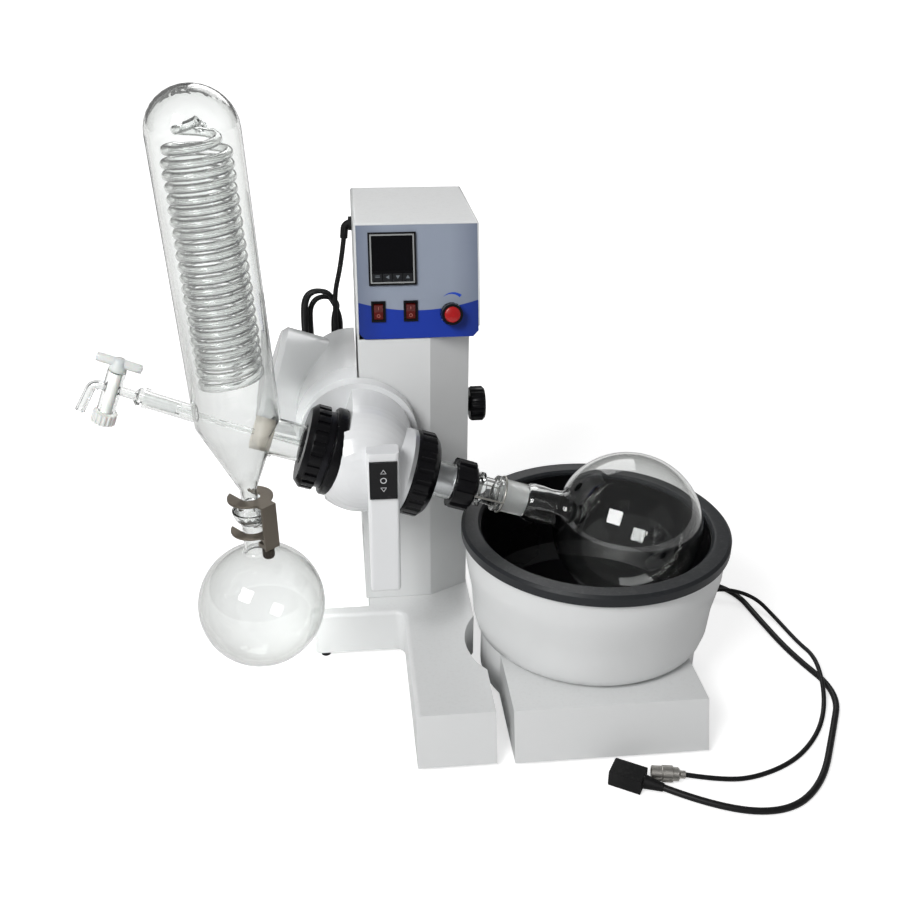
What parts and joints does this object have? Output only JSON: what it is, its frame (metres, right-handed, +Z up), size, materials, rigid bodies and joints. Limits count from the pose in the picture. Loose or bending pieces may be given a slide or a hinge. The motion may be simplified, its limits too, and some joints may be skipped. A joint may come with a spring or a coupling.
{
  "type": "rotary evaporator",
  "caption": "bench rotary evaporator with lift column, tilting head, vertical condenser, flasks, stopcock and heating bath",
  "frame": {"origin": "on the bench under the middle of the machine's box, leads left out", "axes": "+X towards the heating bath, +Y to the back, +Z up"},
  "size_m": [0.8035, 0.5302, 0.6522],
  "materials": {
    "white_paint": "smooth white powder coat, semi-gloss",
    "white_plastic": "smooth white moulding",
    "black_plastic": "satin black moulding",
    "clear_glass": "clear borosilicate",
    "steel": "turned steel",
    "brass": "turned brass",
    "rubber": "black rubber",
    "white_polymer": "white fluoropolymer",
    "clear_plastic": "clear moulding",
    "panel_film": "printed film, blue below and grey above",
    "dark_screen": "dark display window",
    "red_plastic": "red moulding",
    "bath_coating": "black non-stick coating on steel",
    "rim_coating": "dark grey rim",
    "cord_black": "black flexible sheath",
    "plated_metal": "bright plating",
    "aluminium": "machined aluminium",
    "board_green": "fibreglass board"
  },
  "bodies": {
    "base": {"base_shell": "white_paint", "rubber_feet": "rubber", "column_cover": "white_paint", "lift_frame": "steel", "lift_motor": "steel", "control_housing": "white_paint", "front_panel": "panel_film", "panel_frames": "black_plastic", "display_screen": "dark_screen", "control_boards": "board_green", "box_lead": "cord_black", "box_relief": "rubber", "box_hank": "cord_black"},
    "carriage": {"carriage_housing": "aluminium", "lift_bushes": "brass", "motor_housing": "white_plastic", "drive_motor": "steel"},
    "lift_screw": {"lift_screw": "steel"},
    "head": {"head_housing": "aluminium", "head_bearings": "steel", "head_collars": "black_plastic", "metal_rings": "aluminium", "vacuum_seal": "white_polymer", "handle": "white_plastic", "condenser_jacket": "clear_glass", "condenser_coil": "clear_glass", "receiving_flask": "clear_glass", "joint_clamp": "plated_metal", "stopcock_body": "clear_glass"},
    "ring_nut": {"ring_nut": "black_plastic"},
    "spindle": {"spindle": "steel", "crown_gear": "brass", "spindle_sleeve": "clear_plastic", "steam_duct": "clear_glass", "evaporating_flask": "clear_glass"},
    "release_nut": {"release_nut": "black_plastic", "wire_spring": "plated_metal"},
    "pinion_shaft": {"pinion_shaft": "steel"},
    "stopcock_plug": {"stopcock_plug": "white_polymer"},
    "clamp_screw": {"clamp_screw": "plated_metal"},
    "lift_rocker": {"lift_rocker": "black_plastic"},
    "speed_knob": {"speed_knob": "red_plastic"},
    "power_rocker_1": {"power_rocker_1": "red_plastic"},
    "power_rocker_2": {"power_rocker_2": "red_plastic"},
    "lock_knob": {"lock_knob": "black_plastic"},
    "bath": {"bath_stand": "white_paint", "stand_feet": "rubber", "bath_bowl": "white_paint", "bath_rim": "rim_coating", "bath_liner": "bath_coating", "heater_and_thermostat": "steel", "power_lead": "cord_black", "power_relief": "rubber", "power_plug": "rubber", "sensor_lead": "cord_black", "sensor_connector": "plated_metal"},
    "display_key_1": {"display_key_1": "black_plastic"},
    "display_key_2": {"display_key_2": "black_plastic"},
    "display_key_3": {"display_key_3": "black_plastic"},
    "display_key_4": {"display_key_4": "black_plastic"}
  },
  "joints": [
    {"name": "lift", "type": "slide", "parent": "base", "child": "carriage", "axis": [0, 0, 1], "range_m": [0, 0.15]},
    {"name": "lift_screw_turn", "type": "hinge", "parent": "base", "child": "lift_screw", "pos_m": [0.00522, 0.0985, 0.2], "axis": [0, 0, 1], "continuous": true},
    {"name": "head_tilt", "type": "hinge", "parent": "carriage", "child": "head", "pos_m": [-0.06178, -0.0115, 0.279], "axis": [0, -1, 0], "range_deg": [-4, 5]},
    {"name": "spindle_spin", "type": "hinge", "parent": "head", "child": "spindle", "pos_m": [-0.06178, -0.0515, 0.279], "axis": [0.9483, 0, -0.3173], "continuous": true},
    {"name": "pinion_turn", "type": "hinge", "parent": "head", "child": "pinion_shaft", "pos_m": [-0.06178, -0.0235, 0.279], "axis": [0, 1, 0], "continuous": true},
    {"name": "ring_nut_turn", "type": "hinge", "parent": "head", "child": "ring_nut", "pos_m": [-0.10919, -0.0515, 0.29486], "axis": [0.9483, 0, -0.3173], "range_deg": [0, 120]},
    {"name": "release_nut_turn", "type": "hinge", "parent": "spindle", "child": "release_nut", "pos_m": [0.04443, -0.0515, 0.24346], "axis": [0.9483, 0, -0.3173], "range_deg": [0, 60]},
    {"name": "stopcock_turn", "type": "hinge", "parent": "head", "child": "stopcock_plug", "pos_m": [-0.30291, -0.0515, 0.36651], "axis": [0.3649, 0, 0.9311], "range_deg": [0, 90]},
    {"name": "clamp_screw_turn", "type": "hinge", "parent": "head", "child": "clamp_screw", "pos_m": [-0.1624, -0.06912, 0.18634], "axis": [-0.0244, 0, 0.9997], "range_deg": [-180, 180]},
    {"name": "lift_rocker_press", "type": "hinge", "parent": "head", "child": "lift_rocker", "pos_m": [-0.04078, -0.109, 0.283], "axis": [1, 0, 0], "range_deg": [-5, 5], "stiffness_Nm_per_rad": 0.2},
    {"name": "speed_turn", "type": "hinge", "parent": "base", "child": "speed_knob", "pos_m": [0.04022, 0.02171, 0.40963], "axis": [0, 0.9733, -0.2296], "range_deg": [0, 300]},
    {"name": "rocker_1_press", "type": "hinge", "parent": "base", "child": "power_rocker_1", "pos_m": [-0.03678, 0.02458, 0.41306], "axis": [-1, 0, 0], "range_deg": [0, 18]},
    {"name": "rocker_2_press", "type": "hinge", "parent": "base", "child": "power_rocker_2", "pos_m": [-0.00278, 0.02458, 0.41306], "axis": [-1, 0, 0], "range_deg": [0, 18]},
    {"name": "lock_turn", "type": "hinge", "parent": "base", "child": "lock_knob", "pos_m": [0.06222, 0.0705, 0.284], "axis": [1, 0, 0], "range_deg": [0, 180]},
    {"name": "bath_slide", "type": "slide", "parent": "base", "child": "bath", "axis": [1, 0, 0], "range_m": [0, 0.04]},
    {"name": "key_1_press", "type": "slide", "parent": "base", "child": "display_key_1", "axis": [0, 0.9733, -0.2296], "range_m": [0, 0.0006], "stiffness_N_per_m": 400},
    {"name": "key_2_press", "type": "slide", "parent": "base", "child": "display_key_2", "axis": [0, 0.9733, -0.2296], "range_m": [0, 0.0006], "stiffness_N_per_m": 400},
    {"name": "key_3_press", "type": "slide", "parent": "base", "child": "display_key_3", "axis": [0, 0.9733, -0.2296], "range_m": [0, 0.0006], "stiffness_N_per_m": 400},
    {"name": "key_4_press", "type": "slide", "parent": "base", "child": "display_key_4", "axis": [0, 0.9733, -0.2296], "range_m": [0, 0.0006], "stiffness_N_per_m": 400}
  ],
  "couplings": [
    {"joint": "lift_screw_turn", "follows": "lift", "rad_per_m": 1570.8},
    {"joint": "pinion_turn", "follows": "spindle_spin", "ratio": -2}
  ]
}
